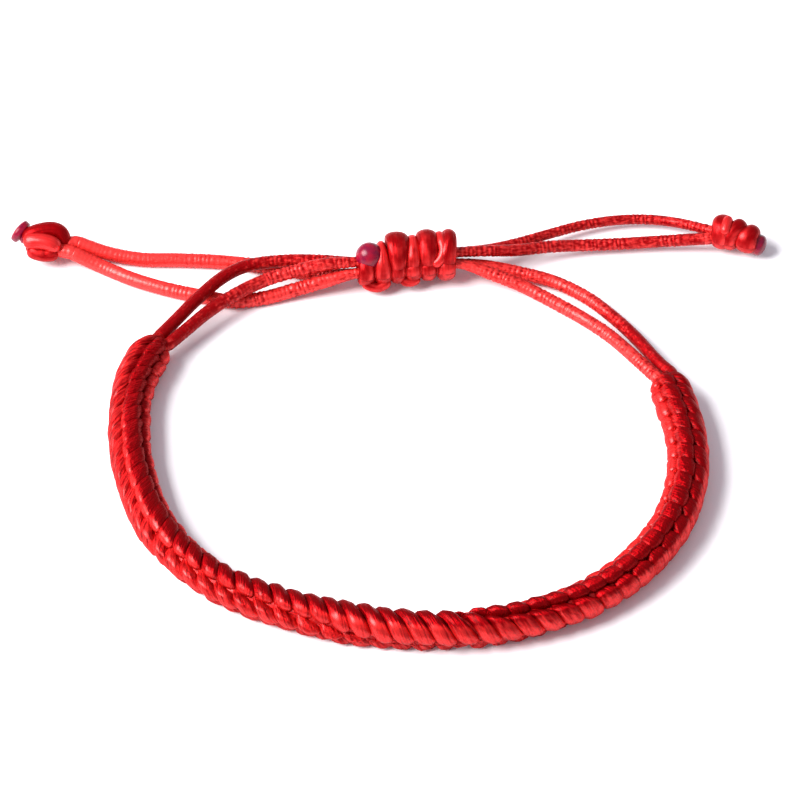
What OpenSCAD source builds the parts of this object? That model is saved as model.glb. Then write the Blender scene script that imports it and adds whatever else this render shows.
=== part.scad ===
// Knotted rope bracelet: a woven band, four loose cords that cross in a sliding knot,
// and a stopper knot on each pair of cord ends. It lies flat, as on a table.
// Millimetres, +Z up. The origin is under the middle of the woven band, on the surface it lies on.

/* [Woven band] */
// Thickness of the band across its widest lobes
band_d = 4.4; // [4:0.1:4.8]
// Number of knots along the band, each one a ring of four slanted lobes
knots = 53; // [40:1:56]
// Depth of the grooves between neighbouring lobes, as a share of the band's radius
groove = 0.2; // [0.05:0.01:0.25]
// Depth of the four seams between the columns of lobes, as a share of the band's radius
seam = 0.18; // [0.05:0.01:0.25]

/* [Cords] */
// Thickness of a cord where it lies free
cord_d = 1.4; // [1.2:0.05:1.4]
// Thickness of the two tails on the left, which are slack
left_tail_d = 1.5; // [1.2:0.05:1.5]
// Thickness of the two tails on the right, which are drawn tight
right_tail_d = 1.1; // [1:0.05:1.2]
// Thickness of a cord where the sliding knot squeezes it
squeezed_d = 1.1; // [0.9:0.05:1.1]
// Space left between pieces that lie side by side
gap = 0.1; // [0.1:0.05:0.2]

/* [Sliding knot] */
// Length of the knot along the cords
knot_l = 10.2; // [9:0.1:10.4]
// Thickness of the knot across its wraps
knot_d = 5.2; // [4.8:0.1:5.2]
// Number of wraps, two for each square knot
wraps = 6; // [4:2:8]
// Thickness of the cord that the knot is tied with
wrap_d = 1.3; // [1.1:0.05:1.4]
// How far the loops on top of the knot stand up
loop_rise = 0.7; // [0.4:0.1:0.8]

/* [Stopper knots] */
// Thickness of a stopper knot across its widest loop
stopper_d = 3.9; // [3.6:0.1:3.9]
// Length of a stopper knot, from where the cords enter to its last loop
stopper_l = 4.6; // [4.2:0.1:5]

/* [Hidden] */
$fn = 32;

// The centre line of the band is a chain of tangent arcs in the XY plane, from its left end
// round the front to its right end. A pose is [x, y, heading, length so far].
// Columns: radius of an arc, degrees that it turns.
RADIUS = 0;
SWEEP = 1;
bends = [
    [15, 32],
    [37, 24.5],
    [21.5, 46],
    [47.5, 17.5],
    [31.5, 31],
    [23, 77],
    [60, 6.5]
];
band_start = [-25.7, 20.5, -127, 0];
band_r = band_d / 2;
HEADING = 2;
LENGTH = 3;

function along_arc(pose, r, turn) =
    let (h = pose[HEADING])
    [
        pose.x + r * (sin(h + turn) - sin(h)),
        pose.y + r * (cos(h) - cos(h + turn)),
        h + turn,
        pose[LENGTH] + r * turn * PI / 180
    ];

function arc_starts(i = 0, pose = band_start) =
    i == len(bends)
        ? [pose]
        : concat([pose], arc_starts(i + 1, along_arc(pose, bends[i][RADIUS], bends[i][SWEEP])));

bend_poses = arc_starts();
band_l = bend_poses[len(bends)][LENGTH];

function band_pose(s) =
    let (i = max([for (k = [0 : len(bends) - 1]) if (k == 0 || bend_poses[k][LENGTH] <= s) k]))
    along_arc(
        bend_poses[i],
        bends[i][RADIUS],
        (s - bend_poses[i][LENGTH]) / bends[i][RADIUS] * 180 / PI
    );

// A point beside a pose: out is towards the outside of the loop, up is along +Z.
function beside(pose, out, up) = [
    pose.x + out * sin(pose[HEADING]),
    pose.y - out * cos(pose[HEADING]),
    up
];

// Each column of lobes covers a quarter of the band. A lobe slants by one knot's length across
// its column, so a groove runs through corners of the mesh. It starts tucked under the column
// before it and ends in a round tip over the next one.
columns = 4;
steps = 5;
sides = columns * steps;
rings = knots * steps;
column_shift = 2;

// A lobe's outline across its column is fullest past the middle, towards its tip.
lobe_skew = 0.7;
lobe_roundness = 0.6;
groove_sharpness = 2.2;
groove_at_seam = 0.4;

// The weave turns a little along the band.
// Columns: share of the band's length, angle of the outermost seam above the horizontal.
twist = [
    [0, 52],
    [0.28, 45],
    [0.42, 22],
    [0.58, -14],
    [0.66, -14],
    [0.76, 15],
    [0.88, 42],
    [1, 48]
];

// The two ends are rounded down to a flat face, from which the cords come out.
end_steps = 4;
end_share = 0.74;

function end_scale(i) =
    let (t = min(1, min(i, rings - i) / end_steps))
    end_share + (1 - end_share) * sqrt(1 - (1 - t) * (1 - t));

function lobe_radius(i, j) =
    let (
        column = floor(j / steps),
        u = (j % steps) / steps,
        p = ((i + j % steps + column * column_shift) % steps) / steps,
        across = pow(sin(180 * pow(u, lobe_skew)), lobe_roundness),
        dip = pow(abs(2 * p - 1), groove_sharpness)
    )
    band_r * (1 - seam * (1 - across) - groove * dip * (groove_at_seam + (1 - groove_at_seam) * across));

function band_ring(i) =
    let (
        s = band_l * i / rings,
        pose = band_pose(s),
        first = lookup(i / rings, twist),
        size = end_scale(i)
    )
    [
        for (j = [0 : sides - 1])
            let (r = lobe_radius(i, j) * size, a = first + 360 * j / sides)
            beside(pose, r * cos(a), band_r + r * sin(a))
    ];

// Faces of a tube of rings with n points each, closed by a flat cap at both ends. The
// diagonals of the walls run along the grooves.
function tube_faces(count, n) = concat(
    [[for (j = [n - 1 : -1 : 0]) j]],
    [[for (j = [0 : n - 1]) (count - 1) * n + j]],
    [
        for (i = [0 : count - 2], j = [0 : n - 1])
            [i * n + j, i * n + (j + 1) % n, (i + 1) * n + j]
    ],
    [
        for (i = [0 : count - 2], j = [0 : n - 1])
            [(i + 1) * n + j, i * n + (j + 1) % n, (i + 1) * n + (j + 1) % n]
    ]
);

module woven_band() {
    points = [for (i = [0 : rings]) each band_ring(i)];
    color("#c4161c")
        polyhedron(points, tube_faces(rings + 1, sides), convexity = 10);
}

// The sliding knot: its middle, the heading of its axis and the way its four cords lie in it.
knot_middle = [0, 31.7, 2.65];
knot_heading = 7.5;
bundle_r = (squeezed_d + gap) / sqrt(2);
bore_r = bundle_r + squeezed_d / 2 + gap;

// Cords run straight through the knot in a diamond. The angle is 0 at the back, 90 on top.
BACK = 0;
TOP = 90;
FRONT = 180;
BOTTOM = 270;
pass_steps = 3;
pass_overrun = 0.3;
pass_half = knot_l / 2 + pass_overrun;

function knot_pass(angle) = [
    for (k = [0 : pass_steps])
        let (x = pass_half * (2 * k / pass_steps - 1), y = bundle_r * cos(angle))
        [
            knot_middle.x + x * cos(knot_heading) - y * sin(knot_heading),
            knot_middle.y + x * sin(knot_heading) + y * cos(knot_heading),
            knot_middle.z + bundle_r * sin(angle),
            squeezed_d
        ]
];

// The routes of the four cords, each from left to right. A cord is named after the end of the
// band that it comes out of, and it runs through the sliding knot to the far stopper knot.
// Columns: x, y, z, thickness.
THICK = 3;
left_outer_route = concat(
    [
        [-26.1, 21.2, 2.2, cord_d],
        [-24.4, 23.6, 2.2, cord_d],
        [-22.1, 26.8, 2.3, cord_d],
        [-19.6, 29.7, 2.4, cord_d],
        [-16.9, 31.5, 2.4, cord_d],
        [-13.1, 32.2, 2.4, cord_d],
        [-9.3, 32.1, 2.5, cord_d]
    ],
    knot_pass(BACK),
    [
        [8.3, 34, 2.3, right_tail_d],
        [11.5, 35.3, 1.9, right_tail_d],
        [14.9, 37, 1.5, right_tail_d],
        [18.4, 38.5, 1.3, right_tail_d],
        [21.9, 39.4, 1.2, right_tail_d],
        [25.5, 39.6, 1.2, right_tail_d],
        [28.9, 38.8, 1.5, right_tail_d],
        [32.3, 37.3, 1.9, right_tail_d]
    ]
);
left_inner_route = concat(
    [
        [-24.9, 20.3, 2.2, cord_d],
        [-23.3, 22.2, 2.2, cord_d],
        [-20.9, 24.9, 2.3, cord_d],
        [-18.1, 27.3, 2.4, cord_d],
        [-15.1, 29.2, 2.5, cord_d],
        [-12.1, 30.2, 2.8, cord_d],
        [-8.7, 30.7, 3.4, cord_d]
    ],
    knot_pass(TOP),
    [
        [8.3, 33, 3.1, right_tail_d],
        [11.7, 33.8, 2.4, right_tail_d],
        [15.1, 34.9, 1.8, right_tail_d],
        [18.7, 35.6, 1.3, right_tail_d],
        [22.3, 35.9, 1.2, right_tail_d],
        [25.9, 36.1, 1.3, right_tail_d],
        [29.3, 36.1, 1.6, right_tail_d],
        [31.9, 36, 1.9, right_tail_d]
    ]
);
right_outer_route = concat(
    [
        [-35.2, 35.4, 1.9, left_tail_d],
        [-31.9, 34.6, 1.1, left_tail_d],
        [-28.3, 34, 0.8, left_tail_d],
        [-24.5, 33.9, 0.8, left_tail_d],
        [-20.7, 33.7, 0.8, left_tail_d],
        [-16.7, 33.2, 0.8, left_tail_d],
        [-12.9, 32.5, 0.8, left_tail_d],
        [-9.1, 31.5, 0.9, left_tail_d]
    ],
    knot_pass(BOTTOM),
    [
        [8.7, 32.2, 1.5, cord_d],
        [12.3, 31.5, 1.2, cord_d],
        [15.7, 30.4, 1, cord_d],
        [18.9, 28.2, 1, cord_d],
        [21.5, 25.3, 1.2, cord_d],
        [23.9, 21.8, 1.6, cord_d],
        [26.2, 17.8, 2, cord_d],
        [27.5, 16, 2.2, cord_d]
    ]
);
right_inner_route = concat(
    [
        [-35.7, 33.9, 1.9, left_tail_d],
        [-32.5, 32.8, 0.9, left_tail_d],
        [-29.1, 31, 0.8, left_tail_d],
        [-25.6, 29.6, 0.8, left_tail_d],
        [-22.1, 28.6, 0.8, left_tail_d],
        [-18.5, 27.8, 0.8, left_tail_d],
        [-15.1, 28.3, 0.8, left_tail_d],
        [-11.7, 29.2, 1.2, left_tail_d],
        [-8.5, 29.8, 1.9, left_tail_d]
    ],
    knot_pass(FRONT),
    [
        [8.9, 30.6, 2.1, cord_d],
        [12.1, 29.4, 1.5, cord_d],
        [15.3, 27.5, 1.1, cord_d],
        [18.5, 25, 1.1, cord_d],
        [21.3, 22.1, 1.4, cord_d],
        [23.9, 18.4, 1.9, cord_d],
        [25.9, 15.5, 2.2, cord_d]
    ]
);

cord_sides = 8;

function unit(v) = v / norm(v);

function place(row) = [row.x, row.y, row.z];

function cord_ring(route, i) =
    let (
        last = len(route) - 1,
        ahead = unit(place(route[min(i + 1, last)]) - place(route[max(i - 1, 0)])),
        side = unit(cross(ahead, [0, 0, 1])),
        over = cross(side, ahead),
        r = route[i][THICK] / 2
    )
    [
        for (j = [0 : cord_sides - 1])
            let (a = 360 * (j + 0.5) / cord_sides)
            place(route[i]) + r * cos(a) * side + r * sin(a) * over
    ];

module cord(route) {
    points = [for (i = [0 : len(route) - 1]) each cord_ring(route, i)];
    color("#d7191f")
        polyhedron(points, tube_faces(len(route), cord_sides), convexity = 6);
}

module left_outer_cord() {
    cord(left_outer_route);
}

module left_inner_cord() {
    cord(left_inner_route);
}

module right_outer_cord() {
    cord(right_outer_route);
}

module right_inner_cord() {
    cord(right_inner_route);
}

// The wraps of the knot are one sleeve whose outline has a round for each wrap.
wrap_pitch = knot_l / wraps;
wrap_points = 6;
wrap_dip = 0.45;
wrap_roundness = 0.6;
loop_lean = 8;

// The knotting cord was trimmed on top of the knot and melted to a bead.
bead_d = knot_d * 0.5;
bead_rise = knot_d * 0.36;

module knot_sleeve() {
    outline = concat(
        [[bore_r, 0]],
        [
            for (w = [0 : wraps - 1], k = [0 : wrap_points])
                let (t = k / wrap_points, lift = pow(sin(180 * t), wrap_roundness))
                if (k > 0 || w == 0)
                    [knot_d / 2 - wrap_dip * (1 - lift), wrap_pitch * (w + t)]
        ],
        [[bore_r, knot_l]]
    );
    translate([0, 0, -knot_l / 2])
        rotate_extrude($fn = 48)
            polygon(outline);
}

// A ring of the knotting cord that stands up above the sleeve, leaning along the axis.
module top_loop(x, lean) {
    ring_r = knot_d / 2 - wrap_d / 2;
    translate([-loop_rise, 0, x])
        rotate([0, lean, 0])
            rotate_extrude($fn = 48)
                translate([ring_r, 0])
                    circle(d = wrap_d, $fn = 24);
}

module sliding_knot() {
    loops = wraps / 2;
    color("#cf1a1f")
        translate(knot_middle)
            rotate([0, 0, knot_heading])
                rotate([0, 90, 0])
                    difference() {
                        union() {
                            knot_sleeve();
                            for (k = [0 : loops - 1])
                                top_loop(wrap_pitch * (2 * k + 1 - loops), loop_lean);
                            translate([-bead_rise, 0, wrap_pitch - knot_l / 2])
                                sphere(d = bead_d);
                        }
                        cylinder(r = bore_r, h = 2 * knot_l, center = true);
                    }
}

// A stopper knot: two crossing loops on a core, a flat face for the cords to enter, and an
// end that was trimmed and melted. Its own axis runs along +Z from the face to the tip.
module stopper(lean, tip_d, tip_l) {
    loop_d = stopper_d * 0.46;
    loop_spread = stopper_l * 0.14;
    core_d = stopper_d * 0.78;
    core_l = stopper_l * 0.8;
    crown_d = stopper_d * 0.72;
    neck_d = stopper_d * 0.45;
    cylinder(d = core_d, h = core_l);
    for (turn = [-1, 1])
        translate([0, 0, stopper_l / 2 + loop_spread * turn])
            rotate([0, lean * turn, 0])
                rotate_extrude($fn = 40)
                    translate([(stopper_d - loop_d) / 2, 0])
                        circle(d = loop_d, $fn = 24);
    translate([0, 0, stopper_l - crown_d / 2])
        sphere(d = crown_d);
    translate([0, 0, core_l])
        cylinder(d1 = neck_d, d2 = tip_d, h = tip_l);
}

// Where the cords enter each stopper knot, and the heading from there to its tip.
left_stopper_face = [-35.75, 34.75, 2];
left_stopper_heading = 160;
right_stopper_face = [32.4, 36.65, 2];
right_stopper_heading = -14;

module left_stopper_knot() {
    color("#c7181e")
        translate(left_stopper_face)
            rotate([0, 90, left_stopper_heading])
                stopper(lean = 24, tip_d = 2.2, tip_l = 2.4);
}

module right_stopper_knot() {
    color("#c7181e")
        translate(right_stopper_face)
            rotate([0, 90, right_stopper_heading])
                stopper(lean = -30, tip_d = 2.4, tip_l = 2);
}

woven_band();
left_outer_cord();
left_inner_cord();
right_outer_cord();
right_inner_cord();
sliding_knot();
left_stopper_knot();
right_stopper_knot();
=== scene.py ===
"""The looks of a knotted rope bracelet: satin cord, woven band, sliding knot and stopper knots."""

import math

import bpy
import numpy as np
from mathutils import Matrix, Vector


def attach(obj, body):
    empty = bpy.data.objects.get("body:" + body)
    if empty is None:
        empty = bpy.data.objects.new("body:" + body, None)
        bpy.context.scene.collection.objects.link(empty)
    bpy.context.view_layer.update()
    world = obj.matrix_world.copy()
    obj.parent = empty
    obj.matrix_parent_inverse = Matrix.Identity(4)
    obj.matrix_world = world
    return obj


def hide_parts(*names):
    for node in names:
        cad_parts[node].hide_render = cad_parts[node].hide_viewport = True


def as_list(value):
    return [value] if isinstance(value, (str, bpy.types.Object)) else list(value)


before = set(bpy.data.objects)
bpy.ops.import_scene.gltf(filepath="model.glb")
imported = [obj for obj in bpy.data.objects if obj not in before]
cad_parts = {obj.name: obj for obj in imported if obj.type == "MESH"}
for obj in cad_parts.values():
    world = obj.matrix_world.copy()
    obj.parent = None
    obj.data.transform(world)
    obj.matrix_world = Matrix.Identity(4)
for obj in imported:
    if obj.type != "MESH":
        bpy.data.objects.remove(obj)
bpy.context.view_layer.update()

MM = 0.001
scene = bpy.context.scene


class Value:
    """A socket of a node tree. Arithmetic on it adds Math nodes to its tree."""

    def __init__(self, graph, socket):
        self.graph = graph
        self.socket = socket

    def math(self, operation, *others):
        return self.graph.add("ShaderNodeMath", {"operation": operation}, self, *others)

    def __add__(self, other):
        return self.math("ADD", other)

    def __sub__(self, other):
        return self.math("SUBTRACT", other)

    def __rsub__(self, other):
        return self * -1 + other

    def __mul__(self, other):
        return self.math("MULTIPLY", other)

    def __truediv__(self, other):
        return self.math("DIVIDE", other)

    def __pow__(self, other):
        return self.math("POWER", other)

    __radd__ = __add__
    __rmul__ = __mul__

    def sin(self):
        return self.math("SINE")

    def cos(self):
        return self.math("COSINE")

    def root(self):
        return self.math("SQRT")

    def size(self):
        return self.math("ABSOLUTE")

    def ramp(self, low, high):
        """0 below low, 1 above high, and smooth between them."""
        settings = {"interpolation_type": "SMOOTHSTEP"}
        return self.graph.add("ShaderNodeMapRange", settings, self, low, high)

    def parts(self):
        """The three numbers of a vector."""
        node = self.graph.node("ShaderNodeSeparateXYZ", {}, self)
        return [Value(self.graph, output) for output in node.outputs]


class Graph:
    """A node tree under construction, of a material or of geometry."""

    def __init__(self, tree):
        self.tree = tree

    def feed(self, socket, value):
        if isinstance(value, Value):
            self.tree.links.new(value.socket, socket)
        else:
            socket.default_value = value

    def node(self, kind, settings=None, *values, **named):
        """A node with its settings, and its sockets by place or by name."""
        node = self.tree.nodes.new(kind)
        for name, setting in (settings or {}).items():
            setattr(node, name, setting)
        for place, value in enumerate(values):
            self.feed(node.inputs[place], value)
        for name, value in named.items():
            self.feed(node.inputs[name.replace("_", " ")], value)
        return node

    def output(self, node):
        """The first output of a node that is in use."""
        return Value(self, next(output for output in node.outputs if output.enabled))

    def add(self, kind, settings=None, *values, **named):
        """The output of a new node."""
        return self.output(self.node(kind, settings, *values, **named))

    def add_typed(self, kind, data_type, *values):
        """The output of a new node whose type of data decides which of its sockets are in use."""
        node = self.node(kind, {"data_type": data_type})
        for socket, value in zip([socket for socket in node.inputs if socket.enabled], values):
            self.feed(socket, value)
        return self.output(node)

    def vector(self, x, y, z):
        return self.add("ShaderNodeCombineXYZ", {}, x, y, z)

    def mix(self, factor, first, second):
        """A colour between two colours."""
        return self.add_typed("ShaderNodeMix", "RGBA", factor, first, second)

    def noise(self, place, scales, detail=1.0):
        """Noise from 0 to 1, with its own scale along each axis of a place."""
        spot = self.add("ShaderNodeVectorMath", {"operation": "MULTIPLY"}, place, scales)
        return self.add("ShaderNodeTexNoise", {}, Vector=spot, Scale=1.0, Detail=detail)


class Pattern(Graph):
    """A Geometry Nodes tree with named inputs, run on a host mesh."""

    def __init__(self, name, **sizes):
        super().__init__(bpy.data.node_groups.new(name, "GeometryNodeTree"))
        self.sizes = sizes
        self.keys = {}
        self.socket("Geometry", "Geometry")
        for label, size in sizes.items():
            self.keys[label] = self.socket(label, "Int" if isinstance(size, int) else "Float")
        self.keys["material"] = self.socket("material", "Material")
        self.socket("Geometry", "Geometry", "OUTPUT")
        self.source = self.tree.nodes.new("NodeGroupInput")
        self.geometry = self.size("Geometry")

    def socket(self, label, kind, side="INPUT"):
        """The identifier of a new socket of the tree."""
        face = self.tree.interface
        return face.new_socket(label, in_out=side, socket_type="NodeSocket" + kind).identifier

    def size(self, label):
        return Value(self, self.source.outputs[label])

    def attribute(self, name, kind="FLOAT"):
        return self.add("GeometryNodeInputNamedAttribute", {"data_type": kind}, name)

    def store(self, geometry, name, value, kind="FLOAT"):
        settings = {"data_type": kind, "domain": "POINT"}
        return self.add(
            "GeometryNodeStoreNamedAttribute", settings, Geometry=geometry, Name=name, Value=value
        )

    def close(self, geometry):
        """Ends the tree: plain smooth mesh with its material."""
        plain = self.add("GeometryNodeRealizeInstances", {}, geometry)
        smooth = self.add("GeometryNodeSetShadeSmooth", {}, plain)
        dressed = self.add(
            "GeometryNodeSetMaterial", {}, Geometry=smooth, Material=self.size("material")
        )
        sink = self.tree.nodes.new("NodeGroupOutput")
        self.feed(sink.inputs["Geometry"], dressed)

    def run(self, name, host, material, **changed):
        """Runs the tree on a host mesh and gives the result as a plain mesh object."""
        holder = bpy.data.objects.new(name + "_host", host)
        scene.collection.objects.link(holder)
        modifier = holder.modifiers.new("Pattern", "NODES")
        modifier.node_group = self.tree
        for label, size in {**self.sizes, **changed, "material": material}.items():
            modifier[self.keys[label]] = size
        graph = bpy.context.evaluated_depsgraph_get()
        mesh = bpy.data.meshes.new_from_object(holder.evaluated_get(graph))
        holder.modifiers.remove(modifier)
        bpy.data.objects.remove(holder)
        return piece(name, mesh)


def piece(name, mesh):
    """A new object at the origin, with its faces pointing outwards."""
    if volume(mesh) < 0:
        mesh.flip_normals()
    mesh.name = name
    made = bpy.data.objects.new(name, mesh)
    scene.collection.objects.link(made)
    return made


def volume(mesh):
    """The signed volume inside a mesh, below zero when its faces point inwards."""
    mesh.calc_loop_triangles()
    corners = np.zeros(len(mesh.loop_triangles) * 3, np.int32)
    mesh.loop_triangles.foreach_get("vertices", corners)
    points = np.zeros(len(mesh.vertices) * 3)
    mesh.vertices.foreach_get("co", points)
    a, b, c = points.reshape(-1, 3)[corners.reshape(-1, 3)].transpose(1, 0, 2)
    return float(np.einsum("ij,ij->i", a, np.cross(b, c)).sum() / 6)


def thread(name, points, **attributes):
    """A host mesh that is one line of points, with numbers for each point."""
    mesh = bpy.data.meshes.new(name)
    mesh.from_pydata([tuple(p) for p in points], [(i, i + 1) for i in range(len(points) - 1)], [])
    for label, values in attributes.items():
        values = np.asarray(values, np.float32)
        kind = "FLOAT_VECTOR" if values.ndim == 2 else "FLOAT"
        key = "vector" if values.ndim == 2 else "value"
        mesh.attributes.new(label, kind, "POINT").data.foreach_set(key, values.ravel())
    return mesh


# The woven band. Its centre line is a chain of tangent arcs, from its left end round the front
# to its right end.
# Columns: radius of an arc in millimetres, degrees that it turns.
BENDS = [
    (15, 32),
    (37, 24.5),
    (21.5, 46),
    (47.5, 17.5),
    (31.5, 31),
    (23, 77),
    (60, 6.5),
]
BAND_START = (-25.7, 20.5)
BAND_HEADING = -127
BAND_R = 2.2 * MM
KNOTS = 53
COLUMNS = 4

# Four columns of lobes meet at four seams. The first and third columns are as wide as each
# other, and so are the second and fourth, which take what is left of the half turn.
# Columns: share of the band's length, angle of the first seam above the horizontal on the
# outside, degrees that the first column covers, knots that a lobe slants by in a quarter turn,
# how far the lobes swell (0 is flush, 1 is round).
LAY = [
    (0, 84, 62, 1.1, 0.3),
    (0.05, 80, 62, 1.1, 0.2),
    (0.1, 62, 70, 1.1, 0.1),
    (0.16, 54, 80, 1.1, 0),
    (0.25, 44, 100, 1, 0),
    (0.3, 44, 104, 0.9, 0.7),
    (0.35, 46, 102, 0.9, 1),
    (0.39, 46, 104, 0.9, 1),
    (0.41, 36, 114, 0.9, 1),
    (0.445, 14, 140, 0.8, 1),
    (0.48, -18, 170, 0.8, 1),
    (0.5, -30, 178, 0.8, 1),
    (0.55, -38, 178, 0.8, 1),
    (0.575, -41, 160, 0.8, 1),
    (0.6, -43, 128, 0.7, 1),
    (0.65, -46, 116, 0.6, 0.9),
    (0.69, -50, 108, 0.4, 0.6),
    (0.75, -52, 108, 0.1, 0),
    (0.86, -50, 108, -0.5, 0),
    (0.93, -50, 122, -0.7, 0),
    (1, -50, 122, -0.7, 0.3),
]

# Painted shade darkens the floss along the top of the band, which faces up, away from the
# softbox. Columns: share of the band's length, angle above the horizontal of the line where the
# painted shade is deepest.
PAINTED_TOP_SHADE_LINE = [(0.15, 114), (0.4, 108), (0.5, 106), (0.75, 74)]

# The weave closes over both ends in a dome, which starts a little beyond the centre line.
DOME_BEYOND = 0.1 * MM
LEFT_DOME_L = 3.2 * MM
RIGHT_DOME_L = 2.4 * MM
DOME_FULLNESS = 2.2
DOME_LEAST = 0.002

# A lobe strays a little from its rule.
# Columns: seed of its chance, the most that it strays either way.
STRAY = {
    "reach": (1, 0.05),
    "place": (2, 0.09 * MM),
    "width": (3, 0.04),
    "height": (4, 0.06),
    "depth": (5, 0.04 * MM),
    "start": (6, 0.04),
}

# The seeds of the columns lie this far apart.
SEED_APART = 100

# The size of the unevenness of the lobes.
UNEVEN_L = 1.1 * MM


def band_line(step=0.25 * MM):
    """Points and lengths along the band's centre line, with a straight bit beyond both ends."""
    x, y = (c * MM for c in BAND_START)
    heading = math.radians(BAND_HEADING)
    rows = [(-DOME_BEYOND, x, y, heading)]
    length = 0.0
    for radius, sweep in BENDS:
        radius *= MM
        sweep = math.radians(sweep)
        count = math.ceil(radius * sweep / step)
        for k in range(count):
            turn = sweep * k / count
            px = x + radius * (math.sin(heading + turn) - math.sin(heading))
            py = y + radius * (math.cos(heading) - math.cos(heading + turn))
            rows.append((length + radius * turn, px, py, heading + turn))
        x += radius * (math.sin(heading + sweep) - math.sin(heading))
        y += radius * (math.cos(heading) - math.cos(heading + sweep))
        heading += sweep
        length += radius * sweep
    rows.append((length, x, y, heading))
    rows.append((length + DOME_BEYOND, x, y, heading))
    s, px, py, heading = np.array(rows).T
    px[0] -= DOME_BEYOND * math.cos(heading[0])
    py[0] -= DOME_BEYOND * math.sin(heading[0])
    px[-1] += DOME_BEYOND * math.cos(heading[-1])
    py[-1] += DOME_BEYOND * math.sin(heading[-1])
    return np.column_stack([px, py, np.zeros(len(s))]), s, length


def band_host():
    """The band's line, with the angle and width of its columns, the slant and swell of its lobes,
    its girth and the angle of its line of painted shade at each point. Also gives the band's length."""
    points, s, length = band_line()

    def along(shares, values):
        return np.interp(s / length, shares, values)

    shares, angles, widths, slants, swells = np.array(LAY).T
    form = [along(shares, np.radians(angles)), along(shares, np.radians(widths)), along(shares, slants)]
    from_left = (s + DOME_BEYOND) / LEFT_DOME_L
    from_right = (length - s + DOME_BEYOND) / RIGHT_DOME_L
    rise = np.clip(np.minimum(from_left, from_right), DOME_LEAST, 1)
    host = thread(
        "band_line",
        points,
        form=np.column_stack(form),
        swell=along(shares, swells),
        girth=(1 - (1 - rise) ** DOME_FULLNESS) ** (1 / DOME_FULLNESS),
        # The angle of the line of painted shade along the top of the band.
        top=np.radians(along(*np.array(PAINTED_TOP_SHADE_LINE).T)),
    )
    return host, length


def lobe_row(tree):
    """A plain cylinder for each lobe of a column. Each point keeps its place on the cylinder, and
    the number of its lobe."""
    size = tree.size
    loop = tree.add(
        "GeometryNodeMeshCylinder",
        {"fill_type": "NGON"},
        Vertices=size("around"),
        Side_Segments=size("along"),
        Radius=1.0,
        Depth=1.0,
    )
    loop = tree.store(loop, "loop", tree.add("GeometryNodeInputPosition"), "FLOAT_VECTOR")
    row = tree.add("GeometryNodeMeshLine", {"mode": "OFFSET"}, Count=size("lobes"))
    row = tree.store(row, "knot", tree.add("GeometryNodeInputIndex"))
    copies = tree.add("GeometryNodeInstanceOnPoints", {}, Points=row, Instance=loop)
    return tree.add("GeometryNodeRealizeInstances", {}, copies)


def unevenness(tree):
    """A small push in or out of the surface, as knots made by hand are never quite alike."""
    wobble = tree.add(
        "ShaderNodeTexNoise",
        {"noise_dimensions": "3D"},
        Vector=tree.add("GeometryNodeInputPosition"),
        Scale=1 / UNEVEN_L,
        Detail=2.0,
    )
    push = (wobble - 0.5) * tree.size("uneven")
    normal = tree.add("GeometryNodeInputNormal")
    return tree.add("ShaderNodeVectorMath", {"operation": "SCALE"}, Vector=normal, Scale=push)


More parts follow.
